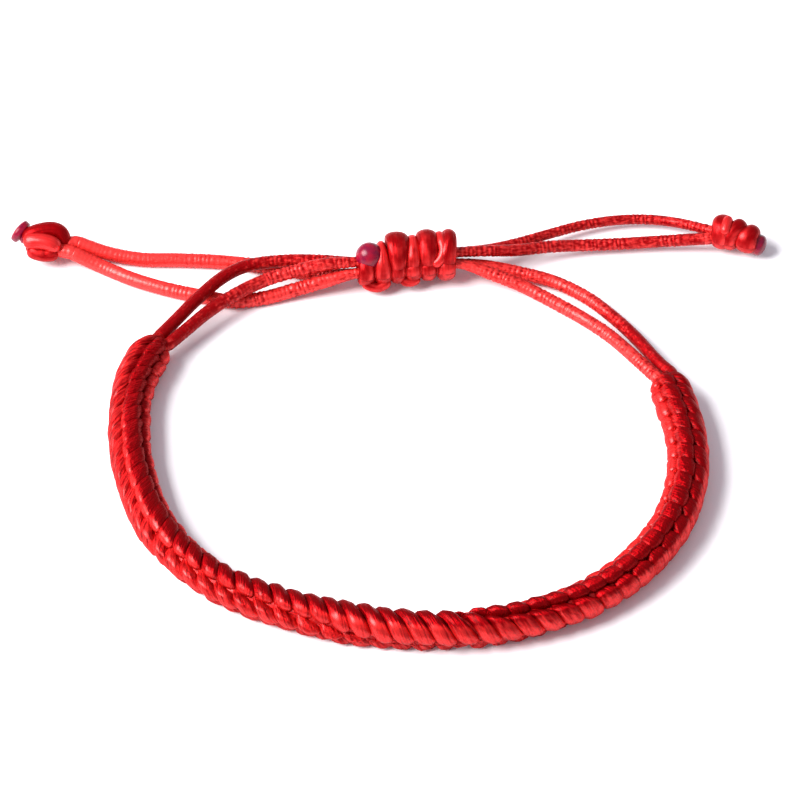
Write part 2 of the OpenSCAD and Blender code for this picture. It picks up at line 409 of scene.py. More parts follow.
def lobe_pattern():
    """One column of the weave. A lobe is a fat loop of cord, laid along a slanted line of the
    band's round surface, from its tip at the column's own seam to a start that is tucked under
    the next column."""
    tree = Pattern(
        "weave_column",
        around=24,
        along=28,
        lobes=KNOTS + 2,
        column=0,
        seed=0,
        pitch=2.0 * MM,
        beyond=DOME_BEYOND,
        band_r=BAND_R,
        half_width=1.2 * MM,
        half_height=0.8 * MM,
        reach=1.4,
        tip_round=0.26,
        start_round=0.15,
        narrow=0.3,
        narrow_from=0.5,
        narrow_to=0.9,
        flush_wide=1.1,
        swell_narrow=0.18,
        tip_drop=0.4 * MM,
        tip_slope=0.42,
        flush_drop=0.3,
        tuck=0.9 * MM,
        tuck_from=-0.4,
        tuck_to=0.25,
        flush_tuck=0.55,
        # Painted shade: a lobe's tone falls from bright to shaded towards its start, which is tucked
        # under the next column.
        shade_from=0.38,
        shade_to=0.78,
        bright=0.74,
        shaded=0.25,
        # Painted shade along the top of the band: where it starts and ends, and how dark it is.
        dark_from=0.68,
        dark_to=0.93,
        dark=0.8,
        curl=0.7,
        stagger=0.5,
        flush=0.6,
        swell=0.34,
        yarns=7.0,
        yarn_twist=3.0,
        yarn_turn=2.4,
        yarn_depth=0.03 * MM,
        uneven=0.14 * MM,
        fibre_l=4.0,
        fibre_apart=9.0,
        fibre_wide=1.1,
        fibre_high=0.8,
    )
    size = tree.size
    weave = lobe_row(tree)
    across, lift, t = tree.attribute("loop", "FLOAT_VECTOR").parts()
    t = t + 0.5
    knot = tree.attribute("knot")
    line = tree.add("GeometryNodeMeshToCurve", {}, tree.geometry)

    def chance(name):
        """How far a lobe strays in one respect."""
        salt, most = STRAY[name]
        return tree.add_typed("FunctionNodeRandomValue", "FLOAT", -most, most, knot, size("seed") + salt)

    def sample(length, name, kind="FLOAT"):
        """The node that finds a number of the band, and its line, at a length along it."""
        settings = {"mode": "LENGTH", "data_type": kind, "use_all_curves": True}
        length = (length + size("beyond")).math("MAXIMUM", 0)
        value = tree.attribute(name, kind)
        return tree.node("GeometryNodeSampleCurve", settings, Curves=line, Value=value, Length=length)

    def found(node, name="Value"):
        return Value(tree, node.outputs[name])

    # The second and fourth columns have another width than the first and third. The last two
    # columns lie half a turn round from the first two.
    second = (size("column") * (math.pi / 2)).sin().size()
    turns = (size("column") - second) * (math.pi / 2)

    def width(spread):
        """The angle that a column covers, from the angle that the first one covers."""
        return spread + second * (spread * -2 + math.pi)

    # Along the lobe: u is 0 at the column's own seam, 1 at the next, and more under that column.
    u = (size("reach") + chance("reach")) * t + chance("start")
    middle = (knot - 0.5 + size("stagger") * size("column")) * size("pitch")
    _, spread, slant = found(sample(middle, "form", "FLOAT_VECTOR")).parts()
    swell = found(sample(middle, "swell"))
    wide = width(spread)
    shift = slant * wide / (math.pi / 2) * u * (1 - size("curl") + size("curl") * u)
    middle = middle - shift * size("pitch") + chance("place")

    def grown(flush_share):
        """A share for a flush lobe that grows to 1 for a round one."""
        return size(flush_share) + (1 - size(flush_share)) * swell

    # The lobe's section, rounded off at the tip and at the start, with a few yarns round it.
    tip = (t / size("tip_round")).math("MINIMUM", 1)
    start = ((1 - t) / size("start_round")).math("MINIMUM", 1)
    full = (tip * (2 - tip)).root() * (start * (2 - start)).root()
    narrow = 1 - size("narrow") * t.ramp(size("narrow_from"), size("narrow_to"))
    girth = size("flush_wide") - swell * size("swell_narrow") + chance("width")
    half_width = size("half_width") * full * narrow * girth
    half_height = size("half_height") * full * (1 + chance("height"))
    angle = lift.math("ARCTAN2", across)
    yarn = (angle * size("yarns") + t * size("yarn_twist") + knot * size("yarn_turn")).sin()
    relief = yarn * size("yarn_depth") * full
    squareness = size("flush") + size("swell") * swell
    across = across.math("SIGN") * across.size() ** squareness
    lift = lift.math("SIGN") * lift.size() ** squareness

    # The tip drops to the seam, and the start is tucked in under the next column.
    slope = 1 - (t / size("tip_slope")).math("MINIMUM", 1)
    past = (u - 1) * wide
    drop = size("tip_drop") * grown("flush_drop") * slope**2
    sink = size("tuck") * grown("flush_tuck") * past.ramp(size("tuck_from"), size("tuck_to"))
    centre = size("band_r") - size("half_height") - (drop + sink) + chance("depth")
    radius = centre + (half_height + relief) * lift

    # The place of each point, from its length along the band and its angle round it.
    s = middle + half_width * across * (1 + relief / size("half_width"))
    spot = sample(s, "girth")
    px, py, _ = found(spot, "Position").parts()
    tx, ty, _ = found(spot, "Tangent").parts()
    seam, spread, _ = found(sample(s, "form", "FLOAT_VECTOR")).parts()
    phi = seam + second * spread + turns + width(spread) * u
    radius = radius * found(spot)
    out = radius * phi.cos()
    rise = radius * phi.sin() + size("band_r")
    place = tree.vector(px + out * ty, py - out * tx, rise)
    weave = tree.add("GeometryNodeSetPosition", {}, Geometry=weave, Position=place)
    weave = tree.add("GeometryNodeSetPosition", {}, Geometry=weave, Offset=unevenness(tree))

    fibre = tree.vector(
        t * size("fibre_l") + knot * size("fibre_apart") + size("seed"),
        across * size("fibre_wide"),
        lift * size("fibre_high"),
    )
    weave = tree.store(weave, "fibre", fibre, "FLOAT_VECTOR")
    # Painted shade along the top of the band, where the floss faces up, away from the softbox.
    painted_top_shade = (phi - found(sample(s, "top"))).cos().ramp(size("dark_from"), size("dark_to"))
    # Painted shade: each lobe's tone darkens towards its start, tucked under the next column.
    tone = size("bright") - size("shaded") * u.ramp(size("shade_from"), size("shade_to"))
    tree.close(tree.store(weave, "tone", tone - size("dark") * painted_top_shade))
    return tree


# The cords. Each route runs from left to right, and passes through the sliding knot.
# Columns: x, y, z and thickness in millimetres.
LEFT_OUTER = [
    (-26.1, 21.2, 2.2, 1.4),
    (-24.4, 23.6, 2.2, 1.4),
    (-22.1, 26.8, 2.3, 1.4),
    (-19.6, 29.7, 2.4, 1.4),
    (-16.9, 31.5, 2.4, 1.4),
    (-13.1, 32.2, 2.4, 1.4),
    (-9.3, 32.1, 2.5, 1.4),
]
LEFT_OUTER_TAIL = [
    (8.3, 34, 2.3, 1.1),
    (11.5, 35.3, 1.9, 1.1),
    (14.9, 37, 1.5, 1.1),
    (18.4, 38.5, 1.3, 1.1),
    (21.9, 39.4, 1.2, 1.1),
    (25.5, 39.6, 1.2, 1.1),
    (28.9, 38.8, 1.5, 1.1),
    (32.3, 37.3, 1.9, 1.1),
]
LEFT_INNER = [
    (-24.9, 20.3, 2.2, 1.4),
    (-23.3, 22.2, 2.2, 1.4),
    (-20.9, 24.9, 2.3, 1.4),
    (-18.1, 27.3, 2.4, 1.4),
    (-15.1, 29.2, 2.5, 1.4),
    (-12.1, 30.2, 2.8, 1.4),
    (-8.7, 30.7, 3.4, 1.4),
]
LEFT_INNER_TAIL = [
    (8.3, 33, 3.1, 1.2),
    (11.7, 33.8, 2.4, 1.3),
    (15.1, 34.9, 1.8, 1.3),
    (18.7, 35.6, 1.3, 1.3),
    (22.3, 35.9, 1.2, 1.3),
    (25.9, 36.1, 1.3, 1.3),
    (29.3, 36.1, 1.6, 1.3),
    (31.9, 36, 1.9, 1.3),
]
RIGHT_OUTER_TAIL = [
    (-35.2, 35.4, 1.9, 1.5),
    (-31.9, 34.6, 1.1, 1.5),
    (-28.3, 34, 0.8, 1.5),
    (-24.5, 33.9, 0.8, 1.5),
    (-20.7, 33.7, 0.8, 1.5),
    (-16.7, 33.2, 0.8, 1.5),
    (-12.9, 32.5, 0.8, 1.5),
    (-9.1, 31.5, 0.9, 1.5),
]
RIGHT_OUTER = [
    (8.7, 32.2, 1.5, 1.4),
    (12.3, 31.5, 1.2, 1.4),
    (15.7, 30.4, 1, 1.4),
    (18.9, 28.2, 1, 1.4),
    (21.5, 25.3, 1.2, 1.4),
    (23.9, 21.8, 1.6, 1.4),
    (26.2, 17.8, 2, 1.4),
    (27.5, 16, 2.2, 1.4),
]
RIGHT_INNER_TAIL = [
    (-35.7, 33.9, 1.9, 1.5),
    (-32.5, 32.8, 0.9, 1.5),
    (-29.1, 31, 0.8, 1.5),
    (-25.6, 29.6, 0.8, 1.5),
    (-22.1, 28.6, 0.8, 1.5),
    (-18.5, 27.8, 0.8, 1.5),
    (-15.1, 28.3, 0.8, 1.5),
    (-11.7, 29.2, 1.2, 1.5),
    (-8.5, 29.8, 1.9, 1.5),
]
RIGHT_INNER = [
    (8.9, 30.6, 2.1, 1.4),
    (12.1, 29.4, 1.5, 1.4),
    (15.3, 27.5, 1.1, 1.4),
    (18.5, 25, 1.1, 1.4),
    (21.3, 22.1, 1.4, 1.4),
    (23.9, 18.4, 1.9, 1.4),
    (25.9, 15.5, 2.2, 1.4),
]

# The sliding knot. The cords pass straight through it side by side, squeezed thinner. The half of
# a pass is how far it reaches from the knot's middle, and its steps go from row to row.
KNOT_MIDDLE = (0, 31.7, 2.65)
KNOT_HEADING = 7.5
PASS_HALF = 5.4
PASS_STEPS = 3
SQUEEZED_D = 1.1
CORD_GAP = 0.1
BUNDLE_R = (SQUEEZED_D + CORD_GAP) / math.sqrt(2)
BACK, TOP, FRONT, BOTTOM = 0, 90, 180, 270


class Place:
    """A local frame of millimetres: along its heading, to the left of it, and up."""

    def __init__(self, origin, heading=0):
        self.origin = np.array(origin, float)
        turn = math.radians(heading)
        self.ahead = np.array([math.cos(turn), math.sin(turn), 0])
        self.left = np.array([-math.sin(turn), math.cos(turn), 0])
        self.up = np.array([0, 0, 1.0])

    def point(self, along, left, up):
        return self.origin + along * self.ahead + left * self.left + up * self.up

    def vector(self, along, left, up):
        return self.point(along, left, up) - self.origin


knot_place = Place(KNOT_MIDDLE, KNOT_HEADING)


def knot_pass(angle):
    """The straight way of a cord through the knot. The angle is 0 at the back, 90 on top."""
    turn = math.radians(angle)
    rows = []
    for k in range(PASS_STEPS + 1):
        along = PASS_HALF * (2 * k / PASS_STEPS - 1)
        x, y, z = knot_place.point(along, BUNDLE_R * math.cos(turn), BUNDLE_R * math.sin(turn))
        rows.append((x, y, z, SQUEEZED_D))
    return rows


# A route starts at the band, so the right-hand ones are turned round.
ROUTES = {
    "left_outer_cord": LEFT_OUTER + knot_pass(BACK) + LEFT_OUTER_TAIL,
    "left_inner_cord": LEFT_INNER + knot_pass(TOP) + LEFT_INNER_TAIL,
    "right_outer_cord": (RIGHT_OUTER_TAIL + knot_pass(BOTTOM) + RIGHT_OUTER)[::-1],
    "right_inner_cord": (RIGHT_INNER_TAIL + knot_pass(FRONT) + RIGHT_INNER)[::-1],
}

# A cord is smoother next to the band, where it is pulled tight. Its tone paints light and shade
# along it: darker next to the band, lighter where it catches the softbox.
# Columns: share of the way along its route, tone, depth of its ribs.
RIBS_AND_PAINTED_LIGHT = {
    "left_outer_cord": [(0, 0, 0.1), (0.2, 0.1, 0.15), (0.28, 0.35, 0.8), (1, 0.35, 1)],
    "left_inner_cord": [
        (0, 0.05, 0.3),
        (0.1, 0.15, 0.6),
        (0.22, 0.5, 1),
        (0.6, 0.4, 1),
        (1, 0.35, 0.9),
    ],
    "right_outer_cord": [
        (0, 0, 0.2),
        (0.1, 0.1, 0.3),
        (0.2, 0.65, 0.8),
        (0.7, 0.6, 1),
        (0.9, 1, 0.4),
        (1, 1, 0.3),
    ],
    "right_inner_cord": [
        (0, 0.5, 0.8),
        (0.1, 0.7, 0.9),
        (0.5, 0.6, 1),
        (0.75, 0.7, 1),
        (0.9, 1, 0.4),
        (1, 1, 0.3),
    ],
}

# The fine plait of a cord: cross ribs, broken up by strands round it. Lengths in millimetres.
RIB_PITCH = 0.5
RIB_DEPTH = 0.08
RIB_SHARE = 0.55
PLAITS = 4

# The ribs wander along the cord in a long and a short wave.
# Columns: how far, radians for each millimetre.
LONG_WANDER = (0.1, 2.3)
SHORT_WANDER = (0.04, 5.1)

# The ribs fade here and there. Columns: strength, radians for each millimetre, first angle.
FADE = [(1, 0.9, 0), (0.8, 0.37, 2)]
FADE_MIDDLE = 0.9
FADE_LEAST = 0.25


def plait(along, turn):
    """The height of a cord's plait, as a share of its radius, at a length and an angle round it."""
    far, slow = LONG_WANDER
    near, fast = SHORT_WANDER
    along = along + far * np.sin(along * slow) + near * np.sin(along * fast - turn)
    ribs = np.cos(math.tau * along / RIB_PITCH)
    strands = np.cos(math.tau * along / RIB_PITCH / 2 + turn) * np.cos(PLAITS * turn)
    fade = FADE_MIDDLE + sum(much * np.sin(along * rate + first) for much, rate, first in FADE)
    return RIB_DEPTH * np.clip(fade, FADE_LEAST, 1) * (RIB_SHARE * ribs + (1 - RIB_SHARE) * strands)


# The steps of a smooth curve from one of its rows to the next, before it is stepped evenly, and
# the fewest even steps along a whole one.
SPLINE_STEPS = 16
LEAST_STEPS = 4


def spline(rows, step, closed=False):
    """A smooth curve through rows of numbers whose first three are a place, evenly stepped, and
    the length up to each of its points."""
    rows = np.array(rows, float)
    if closed:
        rows = np.vstack([rows[-1], rows, rows[:2]])
    else:
        rows = np.vstack([2 * rows[0] - rows[1], rows, 2 * rows[-1] - rows[-2]])
    t = np.linspace(0, 1, SPLINE_STEPS, endpoint=False)[:, None]
    bits = []
    for before, first, last, after in zip(rows, rows[1:], rows[2:], rows[3:]):
        leave = (last - before) / 2
        arrive = (after - first) / 2
        square = 3 * (last - first) - 2 * leave - arrive
        cube = 2 * (first - last) + leave + arrive
        bits.append(first + leave * t + square * t**2 + cube * t**3)
    line = np.vstack([*bits, rows[-2:-1]])
    along = np.concatenate([[0], np.cumsum(np.linalg.norm(np.diff(line[:, :3], axis=0), axis=1))])
    even = np.linspace(0, along[-1], max(LEAST_STEPS, round(along[-1] / step)) + 1)
    return np.column_stack([np.interp(even, along, column) for column in line.T]), even


def carried(side, directions):
    """A direction across a strand, carried along it with as little turn as can be."""
    across = np.array(side, float)
    rows = []
    for direction in directions:
        across = across - direction * across.dot(direction)
        across /= np.linalg.norm(across)
        rows.append(across)
    return np.array(rows)


# Tone runs from dark at 0 to light at 1. Painted light and shade: the crests of ribs are lighter
# # than their furrows.
MIDDLE_TONE = 0.5
RIB_PAINTED_SHADE = 3.5

# A strand's place on the fibre, in millimetres: the radius round it, and the step to the next.
FIBRE_R = 0.7
FIBRE_APART = 40

# A strand's very end is as thick as if it lay this far inside.
END_LEAST = 0.02


def filled(row):
    """A row of a strand with its width, tone and depth of ribs, where it gives none."""
    usual = (row[3], MIDDLE_TONE, 1)
    return (*row, *usual[len(row) - 4 :])


class Shape:
    """Strands gathered into one piece, in millimetres, each point with its place on the fibre."""

    def __init__(self):
        self.points = []
        self.faces = []
        self.fibres = []
        self.tones = []
        self.count = 0
        self.strands = 0

    def grid(self, points, fibres, tones, closed):
        """Adds a grid of rings. Unless it is closed, one face closes each end."""
        index = self.count + np.arange(points.shape[0] * points.shape[1]).reshape(points.shape[:2])
        ahead = np.roll(index, -1, axis=0)
        turned = np.roll(index, -1, axis=1)
        both = np.roll(ahead, -1, axis=1)
        quads = np.stack([index, turned, both, ahead], axis=2)
        if closed:
            self.faces += quads.reshape(-1, 4).tolist()
        else:
            self.faces += quads[:-1].reshape(-1, 4).tolist()
            self.faces += [index[0, ::-1].tolist(), index[-1].tolist()]
        self.points.append(points.reshape(-1, 3))
        self.fibres.append(fibres.reshape(-1, 3))
        self.tones.append(tones.ravel())
        self.count += index.size

    def strand(self, rows, step=0.12, sides=24, closed=False, side=(0, 0, 1), rounding=1, ribs=None):
        """A cord swept along rows of x, y, z and thickness, and if they are given, of width, tone
        and depth of its ribs. Side is the way that its width lies at its start. The rounding of
        its ends is a share of its radius."""
        line, along = spline([filled(row) for row in rows], step, closed)
        if closed:
            line, along = line[:-1], along[:-1]
        place = line[:, :3]
        thick, wide, tone, depth = line[:, 3:].T
        radius = thick / 2
        if closed:
            ahead = np.roll(place, -1, axis=0) - np.roll(place, 1, axis=0)
        else:
            ahead = np.gradient(place, axis=0)
            inside = np.minimum(along, along[-1] - along) + END_LEAST
            inside = np.clip(inside / radius / rounding, 0, 1)
            radius = radius * np.sqrt(inside * (2 - inside))
        ahead /= np.linalg.norm(ahead, axis=1)[:, None]
        across = carried(side, ahead)
        over = np.cross(ahead, across)
        turn = np.linspace(0, math.tau, sides, endpoint=False)[None, :]
        relief = np.ones((len(along), sides))
        if ribs:
            relief += depth[:, None] * ribs(along[:, None], turn)
        out = (wide / thick)[:, None, None] * np.cos(turn)[..., None] * across[:, None]
        out = out + np.sin(turn)[..., None] * over[:, None]
        points = place[:, None] + (radius[:, None] * relief)[..., None] * out
        along, turn = np.broadcast_arrays(along[:, None] + FIBRE_APART * self.strands, turn)
        fibres = np.stack([along, FIBRE_R * np.cos(turn), FIBRE_R * np.sin(turn)], axis=2)
        # Painted shade in the furrows of the ribs, lighter on their crests.
        self.grid(points, fibres, tone[:, None] + RIB_PAINTED_SHADE * (relief - 1), closed)
        self.strands += 1

    def local_strands(self, place, table):
        """Strands through points of a local frame, from a table of thickness, tone and points."""
        for thick, tone, spots in table.values():
            self.strand([(*place.point(*spot), thick, thick, tone) for spot in spots])

    def piece(self, name, material):
        points = np.vstack(self.points) * MM
        mesh = bpy.data.meshes.new(name)
        mesh.from_pydata(points.tolist(), [], self.faces)
        fibre = mesh.attributes.new("fibre", "FLOAT_VECTOR", "POINT")
        fibre.data.foreach_set("vector", np.vstack(self.fibres).ravel())
        tone = mesh.attributes.new("tone", "FLOAT", "POINT")
        tone.data.foreach_set("value", np.concatenate(self.tones))
        mesh.polygons.foreach_set("use_smooth", [True] * len(mesh.polygons))
        mesh.materials.append(material)
        return piece(name, mesh)


# Steps along a cord in millimetres: of its mesh, and of the path that it is declared with.
CORD_STEP = 0.09
PATH_STEP = 1.0
CORD_SIDES = 20

# A cord's ends are cut nearly square.
CUT_ROUNDING = 0.3


def cord_with_painted_light(name):
    """A free cord along its route, with its plait and the painted light and shade of its tone."""
    rows = ROUTES[name]
    shares, tones, ribs = np.array(RIBS_AND_PAINTED_LIGHT[name]).T
    dressed = []
    for k, row in enumerate(rows):
        share = k / (len(rows) - 1)
        dressed.append((*row, row[3], np.interp(share, shares, tones), np.interp(share, shares, ribs)))
    shape = Shape()
    shape.strand(dressed, step=CORD_STEP, sides=CORD_SIDES, rounding=CUT_ROUNDING, ribs=plait)
    return shape.piece("braided_" + name, braid)


# The strand inside the weave, in millimetres. It follows one in so many points of the band's line.
CORE_D = 2.5
CORE_STRIDE = 12
CORE_STEP = 0.4
CORE_SIDES = 16


def band_core():
    """The cords that the weave is knotted around, as one fat strand inside it."""
    points = band_line()[0] / MM
    shape = Shape()
    rows = [(x, y, BAND_R / MM, CORE_D) for x, y, _ in points[1:-1:CORE_STRIDE]]
    shape.strand(rows, step=CORE_STEP, sides=CORE_SIDES)
    return shape.piece("band_core", floss)


# A wrap round a knot. Its hump points up and to the back of the knot, and fades away round it.
HUMP = 125
HUMP_SHARPNESS = 3
RING_STEP = 15
RING_SIDES = 28

# A seam runs along the front of the sliding knot, at this angle and this many degrees wide, with
# # painted shade in it.
GROOVE = 32
GROOVE_WIDE = 14


def knot_ring(shape, place, low, top, thick, groove=0):
    """A wrap round a knot. Low and top each give its place along the knot, its outer radius, its
    width and its tone, for the underside and for the hump; the tone paints light and shade on the
    wrap. A groove lowers its radius, and paints shade into it by lowering its tone alike."""
    rows = []
    for angle in range(0, 360, RING_STEP):
        turn = math.radians(angle)
        lift = ((1 + math.cos(turn - math.radians(HUMP))) / 2) ** HUMP_SHARPNESS
        along, r, wide, tone = (a + (b - a) * lift for a, b in zip(low, top))
        dip = groove * math.exp(-(((angle - GROOVE) / GROOVE_WIDE) ** 2))
        r -= thick / 2 + dip
        spot = place.point(along, -r * math.cos(turn), r * math.sin(turn))
        rows.append((*spot, thick, wide, tone - dip))
    shape.strand(rows, closed=True, side=place.vector(1, 0, 0), sides=RING_SIDES)


# The wraps of the sliding knot, in millimetres. Their tones paint light and shade.
# Columns: place along the knot, outer radius, width and tone, below and then on the hump; depth
# of the groove.
WRAPS = [
    ((-4.5, 2.15, 1.8, 0.4), (-4.4, 1.6, 1.5, 0.3), 0),
    ((-2.75, 2.15, 1.8, 0.5), (-2.65, 2.6, 1, 0.9), 0),
    ((-1.15, 2.15, 1.6, 0.5), (-0.95, 3.45, 2.5, 0.15), 0.15),
    ((0.45, 2.15, 1.65, 0.6), (0.7, 2.95, 1.2, 0.9), 0.3),
    ((2.1, 2.15, 1.75, 0.5), (2.25, 3.4, 2.2, 0.2), 0.35),
    ((4, 2.3, 1.95, 0.6), (4.65, 3.2, 1.5, 0.2), 0.35),
]
WRAP_THICK = 1.3

# The strands inside and beside the wraps. Columns: thickness, tone, and the points, each with its
# # place along the knot, to the left of it and up. The tones paint light and shade: the crossing
# # strand is painted lit, the filling shaded.
KNOT_STRANDS = {
    "filling": (3.5, 0.2, [(-5, 0, 0), (0, 0, 0), (5, 0, 0)]),
    "first_loop": (
        1.2,
        0.5,
        [
            (-4.9, -1.3, -0.8),
            (-4.3, -1.6, -1.2),
            (-3.5, -1.8, -1.4),
            (-2.7, -1.7, -1.2),
            (-2.2, -1.3, -0.8),
        ],
    ),
    "second_loop": (
        1.1,
        0.5,
        [(-0.9, -1.3, -0.9), (-0.4, -1.6, -1.1), (0.1, -1.7, -1.2), (0.6, -1.6, -1.1), (1, -1.3, -0.9)],
    ),
    "crossing": (
        1.1,
        0.9,
        [
            (3.6, 1.9, 1.6),
            (3.6, 1.2, 2.25),
            (3.7, 0.2, 2.4),
            (3.75, -0.7, 1.9),
            (3.3, -1.3, 1.3),
            (2.5, -1.5, 0.8),
        ],
    ),
}

# The melted end of a wrap, on top of the sliding knot.
BEAD = {"bead": (2.95, MIDDLE_TONE, [(-4.1, -1, 0.65), (-4.05, 0.1, 1.65), (-4, 1.1, 2.5)])}


def sliding_knot():
    """The row of wraps round the four cords."""
    shape = Shape()
    for low, top, groove in WRAPS:
        knot_ring(shape, knot_place, low, top, WRAP_THICK, groove)
    shape.local_strands(knot_place, KNOT_STRANDS)
    return shape.piece("knot_wraps", smooth)


def melted_bead():
    """The smooth lump on top of the sliding knot."""
    shape = Shape()
    shape.local_strands(knot_place, BEAD)
    return shape.piece("knot_melted_end", melted)


left_stopper = Place((-38.6, 34.8, 1.9))
right_stopper = Place((35.25, 36.1, 2.2), -18)

# The strands of the left stopper knot, with columns as those of the sliding knot. Their tones
# # paint light and shade: the top is painted dark, the front lit.
LEFT_STOPPER_STRANDS = {
    "top": (
        1.85,
        0.05,
        [
            (-2.3, 0.5, 0.4),
            (-1.1, 0.9, 1.1),
            (0.5, 1.15, 1.35),
            (1.5, 1, 1.1),
            (1.85, 0.6, 0.3),
            (1.5, 0.2, -0.5),
        ],
    ),
    "front": (
        1.75,
        0.85,
        [(-2.2, 0, 0.8), (-1.2, -0.3, 1.15), (0, -0.5, 1.25), (0.9, -0.7, 1), (1.2, -0.7, 0.3)],
    ),
    "low": (
        1.6,
        0.4,
        [(-1.8, -0.4, 0.1), (-0.9, -0.9, 0), (0, -1.05, -0.1), (0.7, -1, -0.1), (1.2, -0.6, -0.4)],
    ),
    "back": (1.6, 0.2, [(-2, 0.3, -0.3), (-0.9, 0.7, -0.8), (0.6, 0.8, -0.9), (1.6, 0.5, -0.7)]),
    "filling": (2.4, 0.2, [(-2, 0.3, 0.3), (0, 0, 0.3), (1.5, 0, 0)]),
}

# The wraps and strands of the right stopper knot, with columns as those of the sliding knot. There
# # is no groove. Their tones paint light and shade.
RIGHT_STOPPER_WRAPS = [
    ((-1.6, 1.8, 2.1, 0.45), (-1.95, 1.95, 2, 0.3)),
    ((-0.8, 1.7, 1.9, 0.5), (0.1, 1.8, 1.8, 0.1)),
    ((1.1, 1.6, 2.4, 0.5), (1.5, 1.55, 1.7, 0.05)),
]
RIGHT_WRAP_THICK = 1.4
RIGHT_STOPPER_STRANDS = {
    "over": (1.1, 0.9, [(-1.3, 0.9, 1.35), (-1.25, 0, 1.65), (-1.2, -0.8, 1.45), (-1.3, -1.2, 1)]),
    "filling": (2.3, MIDDLE_TONE, [(-2.2, 0, 0), (0, 0, 0), (2.2, 0, -0.3)]),
}


def left_stopper_knot():
    """Two loops of cord drawn tight over each other."""
    shape = Shape()
    shape.local_strands(left_stopper, LEFT_STOPPER_STRANDS)
    return shape.piece("left_stopper_wraps", smooth)


def right_stopper_knot():
    """Three wraps drawn tight, with a strand over the first."""
    shape = Shape()
    for low, top in RIGHT_STOPPER_WRAPS:
        knot_ring(shape, right_stopper, low, top, RIGHT_WRAP_THICK)
    shape.local_strands(right_stopper, RIGHT_STOPPER_STRANDS)
    return shape.piece("right_stopper_wraps", smooth)


# The cord ends past the stoppers, in each one's own frame: along, to the left of it and up.
# Columns: thickness, rounding of the ends, points.
LEFT_MELTED = [
    (2.6, 0.3, [(-2.2, 1.35, 0.42), (-2.65, 1.62, 0.66), (-3.1, 1.89, 0.9)]),
    (2, 1, [(-1.4, 0.7, 0.4), (-2.1, 1.25, 0.5), (-2.6, 1.6, 0.6)]),
]
RIGHT_MELTED = [(2.3, 0.6, [(1.3, 0, -0.4), (2.2, 0, -0.6), (3.1, 0, -0.8)])]


def melted_end(name, place, table):
    """A cord end that was melted and pressed flat into a blunt disc."""
    shape = Shape()
    for thick, rounding, spots in table:
        shape.strand([(*place.point(*spot), thick) for spot in spots], rounding=rounding)
    return shape.piece(name, melted)


# A lead starts this far before the end of its cord, in millimetres, and runs on inside.
LEAD_OVERLAP = 0.8

# A lead's thickness at its start and at the end of its cord, as shares of the cord's, the share of
# the way inside where it is as thick as the cord, and the depth of its ribs.
LEAD_START = 0.9
LEAD_END = 0.98
LEAD_MIDDLE = 0.4
LEAD_RIBS = 0.5

# How many points of the band's line a lead reaches into the band.
LEAD_DEPTH = 10


def leads(name, heart, ends):
    """The last stretch of some cords, from just before their ends into the heart of a knot or of
    the band. Each end is given by the last two rows of its route and a tone, which paints light and
    shade to match its cord."""
    shape = Shape()
    heart = np.array(heart)
    for before, last, tone in ends:
        before, end, thick = np.array(before[:3]), np.array(last[:3]), last[3]
        back = (before - end) / np.linalg.norm(before - end)
        middle = end + (heart - end) * LEAD_MIDDLE
        path = [
            (end + back * LEAD_OVERLAP, thick * LEAD_START),
            (end, thick * LEAD_END),
            (middle, thick),
            (heart, thick),
        ]
        shape.strand([(*spot, d, d, tone, LEAD_RIBS) for spot, d in path], ribs=plait)
    return shape.piece(name, braid)


# How floss takes its colour: the share of its folds beside its creases, the weight of both
# # together and of its tone, which paints light and shade, and where its shade and its light begin.
FOLD_SHARE = 0.6
NOISE_WEIGHT = 0.75
TONE_WEIGHT = 0.4
TONE_BASE = 0.3
SHADE_BELOW = 0.35
LIGHT_ABOVE = 0.65

# How floss shines: a red edge, and a clear glint on its light parts, which follow its painted
# # light as well as chance.
EDGE_TINT = (0.6, 0.05, 0.05, 1)
STREAK_GLOSS = 0.14
GLINT_LEAST = 0.006
GLINT_MORE = 0.055
GLINT_IOR = 4.0
GLINT_ROUGHNESS = 0.3
STREAK_HEIGHT = 0.4
FOLD_HEIGHT = 0.5


def satin(name, shade, light, metal, gloss, fine, bundles, crinkle, relief, spread=0):
    """Satin floss. Its fine fibres and bundles run along the strand, and its colour changes from
    shade to light by chance and by the tone of its strand, which paints light and shade on it.
    Scales are in waves for each millimetre, relief in millimetres. Spread stretches its gloss in
    one direction."""
    material = bpy.data.materials.new(name)
    material.use_nodes = True
    graph = Graph(material.node_tree)
    shader = material.node_tree.nodes["Principled BSDF"]
    fibre = graph.add("ShaderNodeAttribute", {"attribute_name": "fibre"})
    tone = graph.add("ShaderNodeAttribute", {"attribute_name": "tone"})
    streaks = graph.noise(fibre, fine)
    folds = graph.noise(fibre, bundles)
    creases = graph.noise(fibre, crinkle, detail=2.0)
    blend = folds * FOLD_SHARE + creases * (1 - FOLD_SHARE) - 0.5
    blend = blend * NOISE_WEIGHT + tone * TONE_WEIGHT + TONE_BASE
    lit = blend.ramp(SHADE_BELOW, LIGHT_ABOVE)
    graph.feed(shader.inputs["Base Color"], graph.mix(lit, shade, light))
    graph.feed(shader.inputs["Roughness"], streaks * STREAK_GLOSS + gloss)
    shader.inputs["Metallic"].default_value = metal
    shader.inputs["Specular Tint"].default_value = EDGE_TINT
    shader.inputs["Anisotropic"].default_value = spread
    graph.feed(shader.inputs["Coat Weight"], lit * GLINT_MORE + GLINT_LEAST)
    shader.inputs["Coat IOR"].default_value = GLINT_IOR
    shader.inputs["Coat Roughness"].default_value = GLINT_ROUGHNESS
    height = streaks * STREAK_HEIGHT + (folds + creases) * FOLD_HEIGHT
    bump = graph.add("ShaderNodeBump", {}, Strength=1.0, Distance=relief * MM, Height=height)
    graph.feed(shader.inputs["Normal"], bump)
    return material


